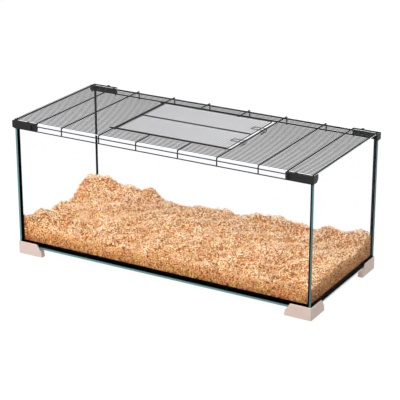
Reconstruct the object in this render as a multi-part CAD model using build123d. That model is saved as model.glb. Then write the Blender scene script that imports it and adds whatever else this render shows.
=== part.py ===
"""Glass rodent cage.

A bonded glass tank stands on four corner shoes. A welded wire lid lies on its rim, with a wire skirt
and plastic corner clips that keep it in place, and a wire door hinged in its middle.
Millimetres. Origin at the centre of the footprint, on the ground. +X runs along the tank to the right,
+Y to the back, +Z up.
"""
from build123d import *
from math import atan, ceil, cos, exp, floor, radians, sin, tan
import os

# Glass tank
tank_length = 1000.0
tank_width = 430.0
pane_height = 405.0
glass = 6.0
ground_clearance = 26.0

# Silicone: the bead's hollow is a share of the deepest that its legs allow
bond_gap = 1.0
bead_leg = 6.0
corner_bead_side_leg = 2.5
base_bead_height = 12.0
bead_hollow_share = 0.85

# Corner shoes
shoe_height = 39.4
shoe_wall = 3.0
shoe_fit = 0.3
shoe_ledge = 13.0
shoe_arm_foot = 86.0
shoe_arm_knee = 83.0
shoe_arm_top = 67.0
shoe_knee_height = 17.0
shoe_corner_radius = 2.5
shoe_edge_chamfer = 0.8

# Lid wires
bar_diameter = 3.5
mesh_wire_diameter = 2.0
upper_skirt_diameter = 3.0
lower_skirt_diameter = 3.0
rim_gap = 0.3
skirt_gap = 1.0
skirt_drop = 25.0
upper_skirt_drop = 8.0
bar_bend = 3.0
bend_chords = 3
mesh_pitch = 9.75
mesh_front_setback = 0.5
mesh_back_setback = 20.0
middle_bar_x = 70.0
door_bar_x = 197.5
outer_bar_inset = 171.0
clip_bar_inset = 81.0
end_bar_inset = 4.0
opening_half_depth = 15 * mesh_pitch
opening_bar_overhang = 7.0
stub_bar_overhang = 3.0

# Door
door_rest_gap = 0.3
door_wire_diameter = 2.0
door_wire_pitch = 8.95
door_hinge_offset = 14.0
door_latch_gap = 7.0
door_overhang = 6.0
door_bar_end = 3.0
hinge_pitch_count = 6.5
hinge_wire_diameter = 2.0
hinge_eye_radius = 5.5
hinge_eye_chords = 12
hinge_eye_opening = 2
hinge_tail = 20.0

# Corner clips
clip_top_drop = 0.7
clip_thickness = 9.0
clip_side_thickness = 3.5
clip_fit = 0.3
clip_side_leg = 17.0
clip_post_overhang = 3.0
clip_post_width = 7.0
clip_recess_length = 13.0
clip_recess_depth = 2.6
clip_recess_border = 3.0
clip_slot_clearance = 0.05
clip_toe_chamfer = 8.0
clip_lug_length = 8.0
clip_lug_height = 3.0
clip_lug_from_bar = 24.0
clip_edge_radius = 1.2

# Bedding: its usual depth, and its mounds and hollows as X, Y, rise, spread along X and spread along Y
bedding_gap = 0.3
bedding_depth = 56.0
bedding_lump_height = 6.0
bedding_lump_size = 21.0
bedding_facets = (64, 27)
bedding_mounds = [
    (-494, 165, 50, 62, 42),
    (-494, 108, 32, 60, 30),
    (-494, -20, 13, 50, 30),
    (-494, -128, 23, 60, 40),
    (-494, -209, 34, 50, 40),
    (-430, 209, 35, 34, 50),
    (-355, 209, 26, 38, 55),
    (-278, 209, 26, 36, 55),
    (-168, 209, -7, 40, 55),
    (0, 209, 5, 45, 50),
    (120, 209, 17, 45, 60),
    (200, 209, 18, 45, 60),
    (275, 209, 11, 30, 50),
    (350, 209, 22, 34, 50),
    (415, 209, 14, 30, 50),
    (480, 209, 32, 45, 60),
    (-250, -60, 6, 60, 60),
    (90, -90, 7, 70, 60),
    (300, 20, 6, 60, 50),
    (488, -40, 10, 60, 90),
]

# Levels and places that follow from the sizes above
half_length = tank_length / 2
half_width = tank_width / 2
inner_x = half_length - glass
inner_y = half_width - glass
floor_level = ground_clearance + glass
rim = ground_clearance + pane_height
bar_radius = bar_diameter / 2
mesh_radius = mesh_wire_diameter / 2
bar_level = rim + rim_gap + bar_radius
mesh_level = bar_level + bar_radius + mesh_radius
opening_bar_level = bar_level + bar_diameter
skirt_y = half_width + skirt_gap + bar_radius
leg_foot = bar_level - skirt_drop
lower_skirt_level = leg_foot + lower_skirt_diameter / 2
upper_skirt_level = bar_level - upper_skirt_drop
end_bar_x = half_length - end_bar_inset
clip_bar_x = half_length - clip_bar_inset
outer_bar_x = half_length - outer_bar_inset
first_wire = -(half_width - mesh_front_setback)
last_wire = half_width - mesh_back_setback
wire_count_front = floor(-first_wire / mesh_pitch)
wire_count_back = floor(last_wire / mesh_pitch)
opening_wire = round(opening_half_depth / mesh_pitch)
door_bar_y = opening_half_depth - mesh_pitch / 2
door_level = bar_level + bar_diameter + door_rest_gap
door_edge_level = door_level - bar_diameter
door_mesh_level = door_level - bar_radius - door_wire_diameter / 2
door_right_x = door_bar_x - door_hinge_offset
door_left_x = -door_bar_x + door_latch_gap
hinge_y = hinge_pitch_count * mesh_pitch

nodes = {}


def block(x, y, z):
    """A box from its low and high limits along each axis."""
    size = [abs(b - a) for a, b in (x, y, z)]
    centre = [(a + b) / 2 for a, b in (x, y, z)]
    return Pos(*centre) * Box(*size)


def wire_section(diameter):
    """A wire's outline, eight-sided to keep the many wires light, with flats where wires are welded."""
    return RegularPolygon(diameter / 2, 8, major_radius=False, rotation=22.5)


def wire_x(x0, x1, y, z, diameter):
    """A straight wire along X."""
    return extrude(Plane((x0, y, z), x_dir=(0, 1, 0), z_dir=(1, 0, 0)) * wire_section(diameter), x1 - x0)


def wire_y(x, y0, y1, z, diameter):
    """A straight wire along Y."""
    return extrude(Plane((x, y0, z), x_dir=(1, 0, 0), z_dir=(0, 1, 0)) * wire_section(diameter), y1 - y0)


def bend(before, corner, after):
    """The points of a bar's bend, which chords stand for to keep the many bars light."""
    back, ahead = (before - corner).normalized(), (after - corner).normalized()
    centre = corner + (back + ahead) * bar_bend
    turns = [radians(90 * i / bend_chords) for i in range(bend_chords + 1)]
    return [centre - ahead * bar_bend * cos(turn) - back * bar_bend * sin(turn) for turn in turns]


def bent_wire(plane, line, diameter):
    """A wire along a line of points, mitred at each, that starts on the plane."""
    return sweep(plane * wire_section(diameter), path=Polyline(*line), transition=Transition.RIGHT)


def mirrored(shape, side_x, side_y):
    """A shape made for the right back corner, set in the corner with these signs."""
    if side_x < 0:
        shape = mirror(shape, Plane.YZ)
    if side_y < 0:
        shape = mirror(shape, Plane.XZ)
    return shape


def bead_outline(leg_a, leg_b):
    """Silicone smoothed into an inside corner: two straight legs and a hollow face."""
    corner, end_a, end_b = Vector(0, 0), Vector(leg_a, 0), Vector(0, leg_b)
    steepness = atan(min(leg_a, leg_b) / max(leg_a, leg_b))
    deepest = (end_a - end_b).length / 2 * tan(steepness / 2)
    middle = (end_a + end_b) * 0.5 - Vector(leg_b, leg_a).normalized() * deepest * bead_hollow_share
    edges = [Line(end_b, corner), Line(corner, end_a), ThreePointArc(end_a, middle, end_b)]
    return make_face(edges)


def bead(plane, leg_a, leg_b, length):
    """A length of bead, from the plane's origin along its normal."""
    return extrude(plane * bead_outline(leg_a, leg_b), length)


# Glass panes: side panes stand outside the base, the front and back panes stand on it
nodes["base_pane"] = block(
    (-inner_x + bond_gap, inner_x - bond_gap),
    (-half_width, half_width),
    (ground_clearance, floor_level),
)
for name, side in (("left_pane", -1), ("right_pane", 1)):
    nodes[name] = block(
        (side * inner_x, side * half_length), (-half_width, half_width), (ground_clearance, rim)
    )
for name, side in (("front_pane", -1), ("back_pane", 1)):
    nodes[name] = block(
        (-inner_x + bond_gap, inner_x - bond_gap),
        (side * inner_y, side * half_width),
        (floor_level + bond_gap, rim),
    )

# Base seams: a bond line under or beside each pane, with a bead smoothed along the inside corner
base_bead_top = floor_level + bond_gap + base_bead_height
back_bead = bead(
    Plane((inner_x, inner_y, floor_level), x_dir=(0, -1, 0), z_dir=(-1, 0, 0)),
    bead_leg,
    base_bead_top - floor_level,
    2 * inner_x,
)
right_bead = bead(
    Plane((inner_x, -inner_y, floor_level), x_dir=(-1, 0, 0), z_dir=(0, 1, 0)),
    bead_leg,
    base_bead_top - floor_level,
    2 * inner_y,
)
back_seam = back_bead + block(
    (-inner_x, inner_x), (inner_y, half_width), (floor_level, floor_level + bond_gap)
)
front_seam = mirror(back_seam, Plane.XZ)
right_seam = right_bead + block(
    (inner_x - bond_gap, inner_x), (-half_width, half_width), (ground_clearance, floor_level)
)
right_seam = right_seam - back_seam - front_seam
nodes["base_seam_front"] = front_seam
nodes["base_seam_back"] = back_seam
nodes["base_seam_left"] = mirror(right_seam, Plane.YZ)
nodes["base_seam_right"] = right_seam

# Corner seams: the same joint, standing up each corner
corner_web = block((inner_x - bond_gap, inner_x), (inner_y, half_width), (floor_level, rim))
corner_bead = bead(
    Plane((inner_x, inner_y, floor_level), x_dir=(-1, 0, 0), z_dir=(0, 0, 1)),
    bond_gap + bead_leg,
    corner_bead_side_leg,
    rim - floor_level,
)
corner_seam = corner_web + corner_bead - back_seam - right_seam

# Corner shoes: an L-shaped moulded shoe with a ledge under the glass and a low wall outside it
shoe_outer_x = half_length + shoe_fit + shoe_wall
shoe_outer_y = half_width + shoe_fit + shoe_wall
arm_outline = [
    (0, 0),
    (-shoe_arm_foot, 0),
    (-shoe_arm_knee, shoe_knee_height),
    (-shoe_arm_top, shoe_height),
    (0, shoe_height),
]
ledge_width = shoe_wall + shoe_fit + shoe_ledge
arm_along_x = extrude(
    Plane((shoe_outer_x, shoe_outer_y, 0), x_dir=(1, 0, 0), z_dir=(0, -1, 0))
    * make_face(Polyline(*arm_outline, close=True)),
    ledge_width,
)
arm_along_y = extrude(
    Plane((shoe_outer_x, shoe_outer_y, 0), x_dir=(0, 1, 0), z_dir=(1, 0, 0))
    * make_face(Polyline(*arm_outline, close=True)),
    -ledge_width,
)
shoe = arm_along_x + arm_along_y
outer_edge = shoe.edges().filter_by(Axis.Z).sort_by(lambda e: (e @ 0.5).X + (e @ 0.5).Y)[-1]
shoe = fillet(outer_edge, shoe_corner_radius)
shoe -= block(
    (0, half_length + shoe_fit), (0, half_width + shoe_fit), (ground_clearance, shoe_height + 1)
)
shoe_rim = shoe.faces().sort_by(Axis.Z)[-1].edges()
shoe = chamfer(shoe_rim, shoe_edge_chamfer)

# Lid bars: round wires over the rim, bent down at both ends to carry the skirt wires


def bent_bar(x):
    """A bar across the whole lid with a leg at each end."""
    foot_front, top_front = Vector(x, -skirt_y, leg_foot), Vector(x, -skirt_y, bar_level)
    top_back, foot_back = Vector(x, skirt_y, bar_level), Vector(x, skirt_y, leg_foot)
    line = [
        foot_front,
        *bend(foot_front, top_front, top_back),
        *bend(top_front, top_back, foot_back),
        foot_back,
    ]
    return bent_wire(Plane(foot_front), line, bar_diameter)


def stub_bar(x, side):
    """A short bar from the skirt to the bar along the door opening."""
    foot, top = Vector(x, side * skirt_y, leg_foot), Vector(x, side * skirt_y, bar_level)
    end = Vector(x, side * (opening_half_depth - stub_bar_overhang), bar_level)
    return bent_wire(Plane(foot), [foot, *bend(foot, top, end), end], bar_diameter)


bar_places = {"end": end_bar_x, "clip": clip_bar_x, "outer": outer_bar_x}
for name, x in bar_places.items():
    nodes[f"lid_{name}_bar_left"] = bent_bar(-x)
    nodes[f"lid_{name}_bar_right"] = bent_bar(x)
nodes["door_rest_bar"] = bent_bar(-door_bar_x)
nodes["door_hinge_bar"] = bent_bar(door_bar_x)
for name, side in (("front", -1), ("back", 1)):
    nodes[f"lid_stub_bars_{name}"] = [stub_bar(x, side) for x in (-middle_bar_x, middle_bar_x)]
    nodes[f"door_opening_bar_{name}"] = wire_x(
        -door_bar_x - opening_bar_overhang,
        door_bar_x + opening_bar_overhang,
        side * opening_half_depth,
        opening_bar_level,
        bar_diameter,
    )

# Mesh wires along the lid, broken by the door opening
mesh_groups = {"front": [], "back": [], "left": [], "right": []}
for step in range(-wire_count_front, wire_count_back + 1):
    y = step * mesh_pitch
    if abs(step) > opening_wire:
        group = "front" if step < 0 else "back"
        mesh_groups[group].append(wire_x(-half_length, half_length, y, mesh_level, mesh_wire_diameter))
        continue
    reach = opening_bar_overhang if abs(step) == opening_wire else -mesh_radius
    inner_end = door_bar_x + reach
    mesh_groups["left"].append(wire_x(-half_length, -inner_end, y, mesh_level, mesh_wire_diameter))
    mesh_groups["right"].append(wire_x(inner_end, half_length, y, mesh_level, mesh_wire_diameter))
for group, wires in mesh_groups.items():
    nodes[f"lid_mesh_{group}"] = wires

# Skirt wires, welded outside the legs
skirt_wires = {
    "upper": (upper_skirt_level, upper_skirt_diameter),
    "lower": (lower_skirt_level, lower_skirt_diameter),
}
for row, (level, diameter) in skirt_wires.items():
    wire_place = skirt_y + bar_radius + diameter / 2
    for name, side in (("front", -1), ("back", 1)):
        nodes[f"skirt_wire_{row}_{name}"] = wire_x(
            -half_length, half_length, side * wire_place, level, diameter
        )

# Corner clips: L-shaped plastic blocks snapped over the upper skirt wire, standing on the lower one
clip_inner_x = half_length + clip_fit
clip_inner_y = half_width + clip_fit
clip_outer_x = clip_inner_x + clip_side_thickness
clip_outer_y = clip_inner_y + clip_thickness
clip_top = bar_level - clip_top_drop
clip_foot = leg_foot + lower_skirt_diameter
clip_end_x = clip_bar_x - clip_post_overhang
clip_span = (clip_foot, clip_top)
clip = block((clip_end_x, clip_outer_x), (clip_inner_y, clip_outer_y), clip_span)
clip = fillet(clip.edges().filter_by(Axis.X).sort_by(Axis.Y)[-2:], clip_edge_radius)
side_leg = block((clip_inner_x, clip_outer_x), (half_width - clip_side_leg, clip_outer_y), clip_span)
toe_edge = side_leg.edges().filter_by(Axis.X).sort_by(Axis.Y)[:2].sort_by(Axis.Z)[0]
side_leg = chamfer(toe_edge, clip_toe_chamfer)
clip += side_leg
recess_start = clip_end_x + clip_post_width
clip -= block(
    (recess_start, recess_start + clip_recess_length),
    (clip_outer_y - clip_recess_depth, clip_outer_y + 1),
    (clip_foot + clip_recess_border, clip_top - clip_recess_border),
)
lug_x = clip_bar_x + clip_lug_from_bar
clip += block(
    (lug_x, lug_x + clip_lug_length),
    (clip_inner_y + clip_thickness / 3, clip_outer_y - clip_edge_radius),
    (clip_top, clip_top + clip_lug_height),
)
slot_half = upper_skirt_diameter / 2 + clip_slot_clearance
clip -= block(
    (clip_end_x - 1, half_length + clip_slot_clearance),
    (clip_inner_y - 1, skirt_y + bar_radius + upper_skirt_diameter + clip_slot_clearance),
    (upper_skirt_level - slot_half, upper_skirt_level + slot_half),
)
for x in (clip_bar_x, end_bar_x):
    slot_half = bar_radius + clip_slot_clearance
    clip -= block(
        (x - slot_half, x + slot_half),
        (clip_inner_y - 1, skirt_y + slot_half),
        (clip_foot - 1, clip_top + clip_lug_height + 1),
    )

for name, side_x, side_y in (
    ("front_left", -1, -1),
    ("front_right", 1, -1),
    ("back_left", -1, 1),
    ("back_right", 1, 1),
):
    nodes[f"corner_seam_{name}"] = mirrored(corner_seam, side_x, side_y)
    nodes[f"corner_shoe_{name}"] = mirrored(shoe, side_x, side_y)
    nodes[f"corner_clip_{name}"] = mirrored(clip, side_x, side_y)

# Door: a wire frame that lies on the rest bar at its left end and turns on the hinge bar
door_ends = (-door_bar_x - door_overhang, door_right_x + door_bar_end)
nodes["door_bar_front"] = wire_x(*door_ends, -door_bar_y, door_level, bar_diameter)
nodes["door_bar_back"] = wire_x(*door_ends, door_bar_y, door_level, bar_diameter)
nodes["door_bar_middle"] = wire_x(
    door_left_x - bar_radius, door_right_x + bar_radius, mesh_pitch / 2, door_level, bar_diameter
)
for name, x in (("left", door_left_x), ("right", door_right_x)):
    nodes[f"door_bar_{name}"] = wire_y(
        x, -door_bar_y - bar_radius, door_bar_y + bar_radius, door_edge_level, bar_diameter
    )
door_gaps = ceil((door_right_x - door_left_x) / door_wire_pitch)
door_step = (door_right_x - door_left_x) / door_gaps
nodes["door_mesh"] = [
    wire_y(door_left_x + i * door_step, -door_bar_y, door_bar_y, door_mesh_level, door_wire_diameter)
    for i in range(1, door_gaps)
]

# Hinges: a bent wire welded on the door's mesh, its two tails curled into open eyes round the hinge bar
hinge_radius = hinge_wire_diameter / 2
hinge_level = door_edge_level + bar_radius + hinge_radius
eye_turn = 360 / hinge_eye_chords
eye_corner = hinge_eye_radius / cos(radians(eye_turn / 2))
tail_x = door_right_x - hinge_tail


def hinge_eye(y):
    """One tail and its open eye, which hangs from the hinge bar."""
    turns = [radians(eye_turn * (i + 0.5)) for i in range(-1, hinge_eye_chords - hinge_eye_opening)]
    eye = [
        Vector(
            door_bar_x + eye_corner * sin(turn), y, hinge_level - hinge_eye_radius + eye_corner * cos(turn)
        )
        for turn in turns[1:]
    ]
    start = Vector(tail_x, y, hinge_level)
    return bent_wire(Plane(start, x_dir=(0, 1, 0), z_dir=(1, 0, 0)), [start, *eye], hinge_wire_diameter)


for name, side in (("front", -1), ("back", 1)):
    ends = (side * hinge_y - mesh_pitch, side * hinge_y + mesh_pitch)
    cross = wire_y(tail_x, ends[0] - hinge_radius, ends[1] + hinge_radius, hinge_level, hinge_wire_diameter)
    nodes[f"hinge_ring_{name}"] = cross + hinge_eye(ends[0]) + hinge_eye(ends[1])

# Bedding: wood shavings heaped on the base, up to the panes and clear of the beads


def bedding_top(x, y):
    """The bedding's surface at a place, from its depth, its mounds and the lumps that shavings settle into."""
    rises = (
        rise * exp(-(((x - mx) / sx) ** 2) - ((y - my) / sy) ** 2) for mx, my, rise, sx, sy in bedding_mounds
    )
    u, v = x / bedding_lump_size, y / bedding_lump_size
    lump = sin(u + 1.7 * sin(0.6 * v)) * sin(v + 1.4 * sin(0.45 * u + 1))
    return Vector(x, y, floor_level + bedding_depth + sum(rises) + bedding_lump_height * lump)


columns, rows = bedding_facets
place_x = [2 * inner_x * (i / columns - 0.5) for i in range(columns + 1)]
place_y = [2 * inner_y * (j / rows - 0.5) for j in range(rows + 1)]
grid = [[bedding_top(x, y) for y in place_y] for x in place_x]
facets = []
for left, right in zip(grid, grid[1:]):
    for j in range(rows):
        corners = [left[j], right[j], right[j + 1], left[j + 1]]
        facets += [corners[:3], [corners[0], corners[2], corners[3]]]
ground = [Vector(x * inner_x, y * inner_y) for x, y in ((-1, -1), (1, -1), (1, 1), (-1, 1))]
edge_front = [column[0] for column in grid]
edge_back = [column[-1] for column in grid]
facets += [
    ground,
    [ground[0], ground[1], *reversed(edge_front)],
    [ground[3], ground[2], *reversed(edge_back)],
    [ground[0], ground[3], *reversed(grid[0])],
    [ground[1], ground[2], *reversed(grid[-1])],
]
bedding_heap = Solid(Shell([Face(Wire.make_polygon(corners)) for corners in facets]))
above_beads = base_bead_top + bedding_gap
clear_x = inner_x - bedding_gap
clear_y = inner_y - bedding_gap
clear_of_bead = bond_gap + bead_leg + bedding_gap
bedding_space = block((-clear_x, clear_x), (-clear_y, clear_y), (above_beads, rim))
bedding_space -= [
    Pos(side_x * inner_x, side_y * inner_y, rim / 2) * Box(2 * clear_of_bead, 2 * clear_of_bead, rim)
    for side_x in (-1, 1)
    for side_y in (-1, 1)
]
bedding_space += block(
    (clear_of_bead - inner_x, inner_x - clear_of_bead),
    (clear_of_bead - inner_y, inner_y - clear_of_bead),
    (floor_level + bedding_gap, above_beads),
)
nodes["wood_bedding"] = bedding_heap & bedding_space

os.makedirs("parts", exist_ok=True)
for name, shape in nodes.items():
    solids = shape if isinstance(shape, list) else shape.solids()
    solids = [solid for item in solids for solid in item.solids()]
    export_step(solids[0] if len(solids) == 1 else Compound(solids), f"parts/{name}.step")
print(len(nodes), "nodes")
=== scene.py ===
"""Glass rodent cage: a bonded glass tank with wood shavings, under a welded wire lid with a hinged door."""

import math

import bpy
import numpy as np
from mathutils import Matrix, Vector, noise


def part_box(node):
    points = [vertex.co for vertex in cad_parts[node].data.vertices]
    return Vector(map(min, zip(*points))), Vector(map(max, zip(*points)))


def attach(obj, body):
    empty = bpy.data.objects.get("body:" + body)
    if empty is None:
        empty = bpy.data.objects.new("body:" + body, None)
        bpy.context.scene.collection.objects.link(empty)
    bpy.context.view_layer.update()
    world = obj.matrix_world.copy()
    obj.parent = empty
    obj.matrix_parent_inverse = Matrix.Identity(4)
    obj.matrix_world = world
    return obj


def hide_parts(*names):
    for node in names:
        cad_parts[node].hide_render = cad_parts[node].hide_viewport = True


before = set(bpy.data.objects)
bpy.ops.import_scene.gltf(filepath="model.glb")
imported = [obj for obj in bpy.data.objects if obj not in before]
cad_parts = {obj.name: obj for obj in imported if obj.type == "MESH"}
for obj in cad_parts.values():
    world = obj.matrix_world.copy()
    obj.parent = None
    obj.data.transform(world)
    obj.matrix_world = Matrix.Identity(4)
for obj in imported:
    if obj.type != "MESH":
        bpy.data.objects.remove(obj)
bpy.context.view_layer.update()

MM = 0.001
rng = np.random.default_rng(41)


# Camera, at the photograph's viewing angle
def add_camera():
    target = Vector((0.0217, -0.0048, 0.2032))
    azimuth, elevation, distance = math.radians(29.83), math.radians(20.81), 4.674
    away = Vector(
        (
            math.sin(azimuth) * math.cos(elevation),
            -math.cos(azimuth) * math.cos(elevation),
            math.sin(elevation),
        )
    )
    data = bpy.data.cameras.new("studio_camera")
    data.sensor_width = 36.0
    data.lens = 139.5
    data.clip_end = 60.0
    camera = bpy.data.objects.new("studio_camera", data)
    camera.location = target + away * distance
    camera.rotation_euler = (-away).to_track_quat("-Z", "Y").to_euler()
    bpy.context.scene.collection.objects.link(camera)
    bpy.context.scene.camera = camera


# Studio: a white table without an edge, white light all round, and soft lights from the left and from above
def add_soft_light(name, place, aim, size, watts):
    """A square area light that faces the point it aims at."""
    data = bpy.data.lights.new(name, "AREA")
    data.shape = "SQUARE"
    data.size = size
    data.energy = watts
    light = bpy.data.objects.new(name, data)
    light.location = place
    light.rotation_euler = (Vector(aim) - Vector(place)).to_track_quat("-Z", "Y").to_euler()
    bpy.context.scene.collection.objects.link(light)


# Shader building
def linear(hex_colour):
    """An sRGB hex colour as linear red, green, blue and alpha."""
    channels = [int(hex_colour[i : i + 2], 16) / 255 for i in (1, 3, 5)]
    return [c / 12.92 if c <= 0.04045 else ((c + 0.055) / 1.055) ** 2.4 for c in channels] + [1.0]


def add_node(tree, kind, links=None, **settings):
    """A node of that kind. links feed its sockets, settings fill its sockets or its own properties."""
    node = tree.nodes.new(kind)
    for name, value in settings.items():
        socket_name = name.replace("_", " ")
        if socket_name in node.inputs:
            node.inputs[socket_name].default_value = value
        else:
            setattr(node, name, value)
    for name, output in (links or {}).items():
        tree.links.new(output, node.inputs[name])
    return node


def new_material(name):
    """A material without nodes, and its tree."""
    material = bpy.data.materials.new(name)
    material.use_nodes = True
    material.node_tree.nodes.clear()
    return material, material.node_tree


def surface_noise(tree, size_mm, detail):
    """Noise that is fixed to the object, with patches of about that size: its value from 0 to 1."""
    place = add_node(tree, "ShaderNodeTexCoord").outputs["Object"]
    scale = 1 / (size_mm * MM)
    return add_node(tree, "ShaderNodeTexNoise", {"Vector": place}, Scale=scale, Detail=detail).outputs["Fac"]


def varied(tree, pattern, middle, spread):
    """A value that the pattern moves up and down by that spread."""
    low, high = middle - spread, middle + spread
    return add_node(tree, "ShaderNodeMapRange", {"Value": pattern}, To_Min=low, To_Max=high).outputs[0]


def set_ramp(node, stops):
    """Fills a colour ramp with hex colours at their places."""
    ramp = node.color_ramp
    while len(ramp.elements) < len(stops):
        ramp.elements.new(0.5)
    for element, (place, colour) in zip(ramp.elements, stops):
        element.position = place
        element.color = linear(colour)


def float_glass(name, clear_axis):
    """Clear float glass: faces almost without colour or shine, pale ground rims and teal cut edges.

    The faces along the named axis are clear, the upward ones are rims, and the others are cut edges, which
    are teal from the light that runs inside the sheet. Such glass has an index near 1.52. It is matched down
    to 1.04, because the object's faces show almost no reflection.
    """
    material, tree = new_material(name)
    surface = add_node(tree, "ShaderNodeNewGeometry")
    normal = add_node(tree, "ShaderNodeSeparateXYZ", {0: surface.outputs["True Normal"]})
    across, up = normal.outputs[clear_axis], normal.outputs["Z"]
    face = add_node(tree, "ShaderNodeMath", {0: across, 1: across}, operation="MULTIPLY")
    half_up = add_node(tree, "ShaderNodeMath", {0: up}, operation="MULTIPLY")
    half_up.inputs[1].default_value = 0.5
    # 0 on a cut edge, a half on a rim and 1 on a clear face
    edge_to_face = {0: half_up.outputs[0], 1: up, 2: face.outputs[0]}
    kind = add_node(tree, "ShaderNodeMath", edge_to_face, operation="MULTIPLY_ADD")
    tint = add_node(tree, "ShaderNodeValToRGB", {"Fac": kind.outputs[0]})
    set_ramp(tint, [(0.2, "#5D8B8C"), (0.5, "#E2ECEB"), (0.8, "#FCFCFE")])
    clear = add_node(
        tree, "ShaderNodeMapRange", {"Value": kind.outputs[0]}, From_Min=0.5, To_Min=0.2, To_Max=1.0
    )
    glass = add_node(
        tree,
        "ShaderNodeBsdfPrincipled",
        {"Base Color": tint.outputs[0], "Transmission Weight": clear.outputs[0]},
        Roughness=0.0,
        IOR=1.04,
    )
    lamp_tint = add_node(tree, "ShaderNodeBsdfTransparent", Color=linear("#F8FBFB"))
    path = add_node(tree, "ShaderNodeLightPath")
    mix = add_node(
        tree,
        "ShaderNodeMixShader",
        {"Fac": path.outputs["Is Shadow Ray"], 1: glass.outputs[0], 2: lamp_tint.outputs[0]},
    )
    add_node(tree, "ShaderNodeOutputMaterial", {"Surface": mix.outputs[0]})
    return material


def black_silicone():
    """Acetoxy silicone smoothed with a wet finger: near black, a soft shine and faint drag marks."""
    material, tree = new_material("smoothed_black_silicone")
    drag = surface_noise(tree, 9, 3.0)
    bump = add_node(tree, "ShaderNodeBump", {"Height": drag}, Strength=0.15, Distance=0.4 * MM)
    shader = add_node(
        tree,
        "ShaderNodeBsdfPrincipled",
        {"Normal": bump.outputs[0]},
        Base_Color=linear("#030303"),
        Roughness=0.5,
        IOR=1.41,
        Specular_IOR_Level=0.15,
    )
    add_node(tree, "ShaderNodeOutputMaterial", {"Surface": shader.outputs[0]})
    return material


def moulded_plastic(name, colour, dark, roughness, grain_mm):
    """Injection moulded plastic with a fine spark-eroded grain, a little darker where it was handled."""
    material, tree = new_material(name)
    grain = surface_noise(tree, grain_mm, 2.0)
    wear = surface_noise(tree, 35, 3.0)
    tone = add_node(tree, "ShaderNodeValToRGB", {"Fac": wear})
    set_ramp(tone, [(0.3, dark), (0.7, colour)])
    sheen = varied(tree, grain, roughness, 0.06)
    bump = add_node(tree, "ShaderNodeBump", {"Height": grain}, Strength=0.12, Distance=0.2 * MM)
    shader = add_node(
        tree,
        "ShaderNodeBsdfPrincipled",
        {"Base Color": tone.outputs[0], "Roughness": sheen, "Normal": bump.outputs[0]},
        IOR=1.53,
        Specular_IOR_Level=0.3,
    )
    add_node(tree, "ShaderNodeOutputMaterial", {"Surface": shader.outputs[0]})
    return material


def coated_wire(name, colour, roughness):
    """Steel wire in black polyester powder: a satin skin with the orange peel that baking leaves."""
    material, tree = new_material(name)
    peel = surface_noise(tree, 1.2, 2.0)
    skin = varied(tree, peel, roughness, 0.08)
    bump = add_node(tree, "ShaderNodeBump", {"Height": peel}, Strength=0.2, Distance=0.1 * MM)
    shader = add_node(
        tree,
        "ShaderNodeBsdfPrincipled",
        {"Roughness": skin, "Normal": bump.outputs[0]},
        Base_Color=linear(colour),
        IOR=1.5,
        Specular_IOR_Level=0.3,
    )
    add_node(tree, "ShaderNodeOutputMaterial", {"Surface": shader.outputs[0]})
    return material


def wood_shaving():
    """Planed softwood shavings: each flake has its own tone, from pale sapwood to dark brown. The tones also
    carry painted shade and painted light, set per point.

    Fine grain shifts the tone within a flake. Wide patches lean to yellow or to pink, as the boards of two
    trees do.
    """
    material, tree = new_material("planed_softwood_shavings")
    tone = add_node(tree, "ShaderNodeAttribute", attribute_name="tone")
    patterns = []
    for size_mm, low, high in ((1.5, -0.1, 0.1), (28, 0.484, 0.514)):
        patterns.append(
            add_node(
                tree,
                "ShaderNodeMapRange",
                {"Value": surface_noise(tree, size_mm, 2.0)},
                From_Min=0.25,
                From_Max=0.75,
                To_Min=low,
                To_Max=high,
            )
        )
    grain, board = patterns
    mixed = add_node(tree, "ShaderNodeMath", {0: tone.outputs["Fac"], 1: grain.outputs[0]}, operation="ADD")
    colour = add_node(tree, "ShaderNodeValToRGB", {"Fac": mixed.outputs[0]})
    set_ramp(
        colour,
        [
            (0.0, "#4A2A12"),
            (0.2, "#A8662C"),
            (0.4, "#E0A05C"),
            (0.6, "#EFBE84"),
            (0.8, "#F7D6A6"),
            (1.0, "#FDEBCD"),
        ],
    )
    leaning = add_node(
        tree, "ShaderNodeHueSaturation", {"Color": colour.outputs[0], "Hue": board.outputs[0]}
    )
    shader = add_node(
        tree,
        "ShaderNodeBsdfPrincipled",
        {"Base Color": leaning.outputs[0]},
        Roughness=0.75,
        Specular_IOR_Level=0.25,
    )
    add_node(tree, "ShaderNodeOutputMaterial", {"Surface": shader.outputs[0]})
    return material


def studio_white():
    """A back-lit white acrylic table: it looks evenly bright, and sends only part of that light back up."""
    material, tree = new_material("back_lit_white_acrylic")
    path = add_node(tree, "ShaderNodeLightPath")
    strength = add_node(
        tree, "ShaderNodeMapRange", {"Value": path.outputs["Is Diffuse Ray"]}, To_Min=0.97, To_Max=0.5
    )
    glow = add_node(tree, "ShaderNodeEmission", {"Strength": strength.outputs[0]})
    paint = add_node(tree, "ShaderNodeBsdfDiffuse", Color=(0.06, 0.06, 0.06, 1.0))
    both = add_node(tree, "ShaderNodeAddShader", {0: glow.outputs[0], 1: paint.outputs[0]})
    add_node(tree, "ShaderNodeOutputMaterial", {"Surface": both.outputs[0]})
    return material


def finish(material, *names):
    """Gives CAD nodes this finish."""
    for name in names:
        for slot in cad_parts[name].material_slots:
            slot.material = material


def add_mesh(name, points, faces, material, body):
    """A mesh piece of the object, riding on its body."""
    mesh = bpy.data.meshes.new(name)
    mesh.from_pydata(points, [], faces)
    mesh.materials.append(material)
    piece = bpy.data.objects.new(name, mesh)
    bpy.context.scene.collection.objects.link(piece)
    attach(piece, body)
    return piece


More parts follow.
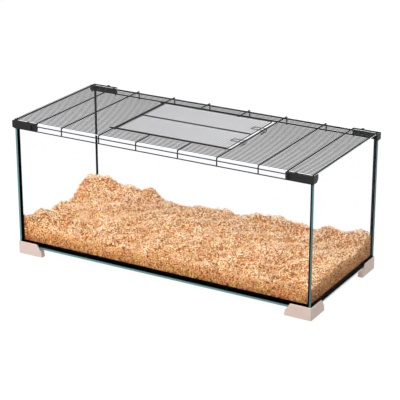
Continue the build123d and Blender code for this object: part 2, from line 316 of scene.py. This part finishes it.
# Tank: the glass, its seams and its shoes
finish(float_glass("float_glass_long_panes", "Y"), "front_pane", "back_pane")
finish(float_glass("float_glass_end_panes", "X"), "left_pane", "right_pane")
finish(float_glass("float_glass_base", "Z"), "base_pane")
SIDES = ("front", "back", "left", "right")
CORNERS = ("front_left", "front_right", "back_left", "back_right")
seam_nodes = [f"base_seam_{side}" for side in SIDES] + [f"corner_seam_{corner}" for corner in CORNERS]
finish(black_silicone(), *seam_nodes)
shoe_plastic = moulded_plastic("moulded_beige_abs", "#E8D1C6", "#E3CABF", 0.5, 0.8)
finish(shoe_plastic, *[f"corner_shoe_{corner}" for corner in CORNERS])

# Lid and door: the wires and the clips
bar_coat = coated_wire("black_powder_coated_bar", "#070707", 0.5)
mesh_coat = coated_wire("black_powder_coated_mesh", "#111010", 0.5)
finish(mesh_coat, "door_mesh", *[f"lid_mesh_{side}" for side in SIDES])
bars = [f"lid_{place}_bar_{side}" for place in ("end", "clip", "outer") for side in ("left", "right")]
bars += ["door_rest_bar", "door_hinge_bar", "door_bar_middle"]
bars += [f"door_bar_{side}" for side in SIDES]
for side in ("front", "back"):
    bars += [f"lid_stub_bars_{side}", f"door_opening_bar_{side}", f"hinge_ring_{side}"]
    bars += [f"skirt_wire_{row}_{side}" for row in ("upper", "lower")]
finish(bar_coat, *bars)
clip_plastic = moulded_plastic("moulded_charcoal_abs", "#121315", "#0C0D0E", 0.5, 0.7)
finish(clip_plastic, *[f"corner_clip_{corner}" for corner in CORNERS])

# Bedding: the same depth, mounds and lumps as the solid heap, with a crumbled surface and loose flakes. Sizes
# are in millimetres up to CELL, and in metres where MM stands beside them or where they come from the frame.
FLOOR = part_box("base_pane")[1].z
GLASS_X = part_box("right_pane")[0].x
GLASS_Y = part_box("back_pane")[0].y
BEAD_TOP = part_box("base_seam_back")[1].z
DEPTH = 56
LUMP_HEIGHT = 6
LUMP_SIZE = 21
CRUMBLE = ((3.5, 23, 8.7), (3.0, 12, 3.1))  # height, patch size and the slice of the noise
# Mounds and hollows: x, y, height, spread along x and spread along y
MOUNDS = [
    (-494, 165, 50, 62, 42),
    (-494, 108, 32, 60, 30),
    (-494, -20, 13, 50, 30),
    (-494, -128, 23, 60, 40),
    (-494, -209, 34, 50, 40),
    (-430, 209, 35, 34, 50),
    (-355, 209, 26, 38, 55),
    (-278, 209, 26, 36, 55),
    (-168, 209, -7, 40, 55),
    (0, 209, 5, 45, 50),
    (120, 209, 17, 45, 60),
    (200, 209, 18, 45, 60),
    (275, 209, 11, 30, 50),
    (350, 209, 22, 34, 50),
    (415, 209, 14, 30, 50),
    (480, 209, 32, 45, 60),
    (-250, -60, 6, 60, 60),
    (90, -90, 7, 70, 60),
    (300, 20, 6, 60, 50),
    (488, -40, 10, 60, 90),
]
CELL = 5 * MM

# Wood tones, from 0 in dark brown to 1 in pale sapwood. Besides the wood's own tone, some of these add
# painted shade and painted light.
FLAKE_TONE, TONE_SPREAD = 0.77, 0.11
# Painted light: flakes towards the back of the tank get a paler tone, where more light falls on them.
BACK_PAINTED_LIGHT = 0.07  # paler towards the back of the tank
# A share of the flakes is much darker than the rest.
DARK_FLAKE_SHARE, DARK_FLAKE_DROP = 0.11, 0.5
# Painted shade: flakes in the hollows between lumps and flakes lower in the heap get a darker tone, while
# lumps and upper flakes get a paler one.
HOLLOW_PAINTED_SHADE, DEPTH_PAINTED_SHADE = 0.11, 0.1  # paler on a lump and on an upper flake
# Painted shade: flakes against the glass get a darker tone, most at the bottom and less towards the top.
WALL_PAINTED_SHADE, WALL_SHADE_FADE = 0.5, 0.28  # darker against the glass, less so towards the top
# Painted shade: the packed heap under the loose flakes is dark, so the gaps between the flakes look shaded.
PACKED_PAINTED_SHADE = 0.25

# Flakes: sizes in millimetres, curl as the angle that the ribbon turns through
FLAKE_STEPS = 4
FLAKE_LENGTH, FLAKE_WIDTH, FLAKE_CURL = (5.0, 10.5), (1.6, 3.6), (0.3, 3.6)
FLAKE_GROUPS = (  # count, where they lie, and how far they tilt
    (30000, "top", 0.8),
    (4000, "top", 3.0),
    (7500, "front", 0.5),
    (3400, "right", 0.5),
    (3400, "left", 0.5),
    (5000, "back", 0.5),
)
GLASS_GAP = 0.4 * MM
BEAD_REACH = 8 * MM  # over this strip along the glass, flakes stay above the base seams
CORNER_REACH = 7.6 * MM  # and this near to two panes, clear of the corner seams
PACKED_INSET, PACKED_DROP, PACKED_FOOT = 3.5 * MM, 4.0 * MM, 1.0 * MM


def heap_table():
    """The heap's surface on a fine grid, and how far each place lies in a hollow or on a lump."""
    xs = np.arange(-GLASS_X, GLASS_X + CELL, CELL)
    ys = np.arange(-GLASS_Y, GLASS_Y + CELL, CELL)
    x, y = np.meshgrid(xs / MM, ys / MM, indexing="ij")
    rise = sum(h * np.exp(-(((x - mx) / sx) ** 2) - ((y - my) / sy) ** 2) for mx, my, h, sx, sy in MOUNDS)
    u, v = x / LUMP_SIZE, y / LUMP_SIZE
    # The wave of the lumps is the solid heap's own, with the same numbers
    lump = LUMP_HEIGHT * np.sin(u + 1.7 * np.sin(0.6 * v)) * np.sin(v + 1.4 * np.sin(0.45 * u + 1))
    crumble = np.array(
        [
            [sum(h * noise.noise((a / size, b / size, cut)) for h, size, cut in CRUMBLE) for b in ys / MM]
            for a in xs / MM
        ]
    )
    return xs, ys, FLOOR + (DEPTH + rise + lump + crumble) * MM, (lump + 1.5 * crumble) / LUMP_HEIGHT


heap_x, heap_y, heap_z, heap_relief = heap_table()


def on_heap(table, x, y):
    """The table's values at many places, between its grid points."""
    i = np.clip((x - heap_x[0]) / CELL, 0, len(heap_x) - 1.001)
    j = np.clip((y - heap_y[0]) / CELL, 0, len(heap_y) - 1.001)
    a, b = i.astype(int), j.astype(int)
    u, v = i - a, j - b
    low = table[a, b] * (1 - u) + table[a + 1, b] * u
    high = table[a, b + 1] * (1 - u) + table[a + 1, b + 1] * u
    return low * (1 - v) + high * v


def unit(vectors):
    """The same directions with a length of 1."""
    return vectors / np.linalg.norm(vectors, axis=-1, keepdims=True)


def scattered(count, wall):
    """Places, outward directions and tones for flakes on the heap's top, or against one wall of the glass."""
    x = rng.uniform(-GLASS_X, GLASS_X, count)
    y = rng.uniform(-GLASS_Y, GLASS_Y, count)
    # Painted light: the tone grows paler towards the back of the tank.
    tone = rng.normal(FLAKE_TONE, TONE_SPREAD, count) + BACK_PAINTED_LIGHT * y / GLASS_Y
    # A share of the flakes is made much darker.
    tone[rng.random(count) < DARK_FLAKE_SHARE] -= DARK_FLAKE_DROP
    if wall == "top":
        step = 4 * MM
        slope_x = (on_heap(heap_z, x + step, y) - on_heap(heap_z, x - step, y)) / (2 * step)
        slope_y = (on_heap(heap_z, x, y + step) - on_heap(heap_z, x, y - step)) / (2 * step)
        out = unit(np.stack([-slope_x, -slope_y, np.ones(count)], 1))
        depth = rng.normal(0, 1, count)
        z = on_heap(heap_z, x, y) + (depth * 2.0 - 0.5) * MM
        # Painted shade: darker in the hollows and on lower flakes, paler on lumps and upper flakes.
        tone = tone + HOLLOW_PAINTED_SHADE * on_heap(heap_relief, x, y) + DEPTH_PAINTED_SHADE * depth
        return np.stack([x, y, z], 1), out, tone
    inset = rng.uniform(0.6, 3.5, count) * MM
    out = np.zeros((count, 3))
    if wall in ("left", "right"):
        sign = 1 if wall == "right" else -1
        x = sign * (GLASS_X - inset)
        out[:, 0] = sign
    else:
        sign = 1 if wall == "back" else -1
        y = sign * (GLASS_Y - inset)
        out[:, 1] = sign
    top = on_heap(heap_z, x, y)
    height = rng.uniform(-0.05, 1.0, count)
    z = BEAD_TOP + height * (top - BEAD_TOP)
    # Painted shade: darker against the glass, less so towards the top.
    return np.stack([x, y, z], 1), out, tone - WALL_PAINTED_SHADE + WALL_SHADE_FADE * height


def curled_flakes(places, out, tones, lift):
    """A small curled ribbon at each place: arrays of points, of faces and of the points' tones."""
    count = len(places)
    steps = FLAKE_STEPS
    up = unit(out + lift * unit(rng.normal(size=(count, 3))))
    along = unit(np.cross(up, rng.normal(size=(count, 3))))
    side = np.cross(up, along)
    length = rng.uniform(*FLAKE_LENGTH, count) * MM
    width = rng.uniform(*FLAKE_WIDTH, count) * MM
    curl = rng.uniform(*FLAKE_CURL, count) * rng.choice([-1, 1], count)
    radius = length / np.abs(curl)
    points = np.empty((count, steps + 1, 2, 3))
    for k in range(steps + 1):
        t = k / steps - 0.5
        angle = np.abs(curl) * t
        middle = (
            places
            + along * (radius * np.sin(angle))[:, None]
            + up * (np.sign(curl) * radius * (1 - np.cos(angle)))[:, None]
        )
        taper = width * (1 - 1.6 * t * t) * rng.uniform(0.75, 1.1, count) / 2
        points[:, k, 0] = middle + side * taper[:, None]
        points[:, k, 1] = middle - side * taper[:, None]
    points = points.reshape(-1, 3)
    points[:, 0] = np.clip(points[:, 0], -GLASS_X + GLASS_GAP, GLASS_X - GLASS_GAP)
    points[:, 1] = np.clip(points[:, 1], -GLASS_Y + GLASS_GAP, GLASS_Y - GLASS_GAP)
    x, y = np.abs(points[:, 0]), np.abs(points[:, 1])
    near_wall = (x > GLASS_X - BEAD_REACH) | (y > GLASS_Y - BEAD_REACH)
    points[:, 2] = np.maximum(points[:, 2], np.where(near_wall, BEAD_TOP + 0.2 * MM, FLOOR + 2 * MM))
    in_corner = (x > GLASS_X - CORNER_REACH) & (y > GLASS_Y - CORNER_REACH)
    points[in_corner, 1] = np.sign(points[in_corner, 1]) * (GLASS_Y - CORNER_REACH)
    base = np.arange(count)[:, None] * 2 * (steps + 1) + np.arange(steps)[None, :] * 2
    faces = np.stack([base, base + 1, base + 3, base + 2], -1).reshape(-1, 4)
    return points, faces, np.repeat(np.clip(tones, 0, 1), 2 * (steps + 1))


def add_tone(piece, tones):
    """Each point's tone, the wood's own with painted shade and painted light added, which the shavings'
    finish reads.
    """
    layer = piece.data.attributes.new("tone", "FLOAT", "POINT")
    layer.data.foreach_set("value", np.asarray(tones, np.float32))


def add_shavings(material):
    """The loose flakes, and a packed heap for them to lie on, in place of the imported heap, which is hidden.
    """
    points, faces, tones, start = [], [], [], 0
    for count, wall, lift in FLAKE_GROUPS:
        new_points, new_faces, new_tones = curled_flakes(*scattered(count, wall), lift)
        points.append(new_points)
        faces.append(new_faces + start)
        tones.append(new_tones)
        start += len(new_points)
    piece = add_mesh(
        "loose_shavings",
        np.concatenate(points).tolist(),
        np.concatenate(faces).tolist(),
        material,
        "tank",
    )
    add_tone(piece, np.concatenate(tones))
    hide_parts("wood_bedding")

    nx, ny = len(heap_x), len(heap_y)
    packed_x = np.clip(heap_x, -GLASS_X + PACKED_INSET, GLASS_X - PACKED_INSET)
    packed_y = np.clip(heap_y, -GLASS_Y + PACKED_INSET, GLASS_Y - PACKED_INSET)
    x, y = np.meshgrid(packed_x, packed_y, indexing="ij")
    top = np.stack([x, y, heap_z - PACKED_DROP], -1).reshape(-1, 3)
    foot = top.copy()
    foot[:, 2] = FLOOR + PACKED_FOOT
    cells = [
        (i * ny + j, (i + 1) * ny + j, (i + 1) * ny + j + 1, i * ny + j + 1)
        for i in range(nx - 1)
        for j in range(ny - 1)
    ]
    rim = [i * ny for i in range(nx)] + [(nx - 1) * ny + j for j in range(1, ny)]
    rim += [i * ny + ny - 1 for i in range(nx - 2, -1, -1)] + [j for j in range(ny - 2, 0, -1)]
    shell = {index: len(top) + k for k, index in enumerate(rim)}
    walls = [(a, shell[a], shell[b], b) for a, b in zip(rim, rim[1:] + rim[:1])]
    heap = add_mesh(
        "packed_shavings",
        top.tolist() + foot[rim].tolist(),
        cells + walls + [tuple(shell[i] for i in reversed(rim))],
        material,
        "tank",
    )
    # Painted shade: the packed heap takes a dark tone, so the gaps between the flakes look shaded.
    add_tone(heap, np.full(len(top) + len(rim), PACKED_PAINTED_SHADE))


add_shavings(wood_shaving())

# Stage: the table, which reaches out of sight, the camera and the lights
REACH = 30
floor_corners = [(-REACH, -REACH, 0), (REACH, -REACH, 0), (REACH, REACH, 0), (-REACH, REACH, 0)]
floor_mesh = bpy.data.meshes.new("studio_floor")
floor_mesh.from_pydata(floor_corners, [], [(0, 1, 2, 3)])
floor_mesh.materials.append(studio_white())
studio_floor = bpy.data.objects.new("studio_floor", floor_mesh)
bpy.context.scene.collection.objects.link(studio_floor)
add_camera()
TANK_MIDDLE = (0, 0, 0.2)
add_soft_light("key_light", (-2.2, -2.9, 3.0), TANK_MIDDLE, size=1.2, watts=122)
add_soft_light("top_light", (0.3, 0.2, 3.6), TANK_MIDDLE, size=1.6, watts=92)
world = bpy.data.worlds.new("white_studio")
world.use_nodes = True
background = world.node_tree.nodes["Background"]
background.inputs["Color"].default_value = (1.0, 1.0, 1.0, 1.0)
background.inputs["Strength"].default_value = 0.5
bpy.context.scene.world = world
bpy.context.scene.view_settings.view_transform = "Standard"
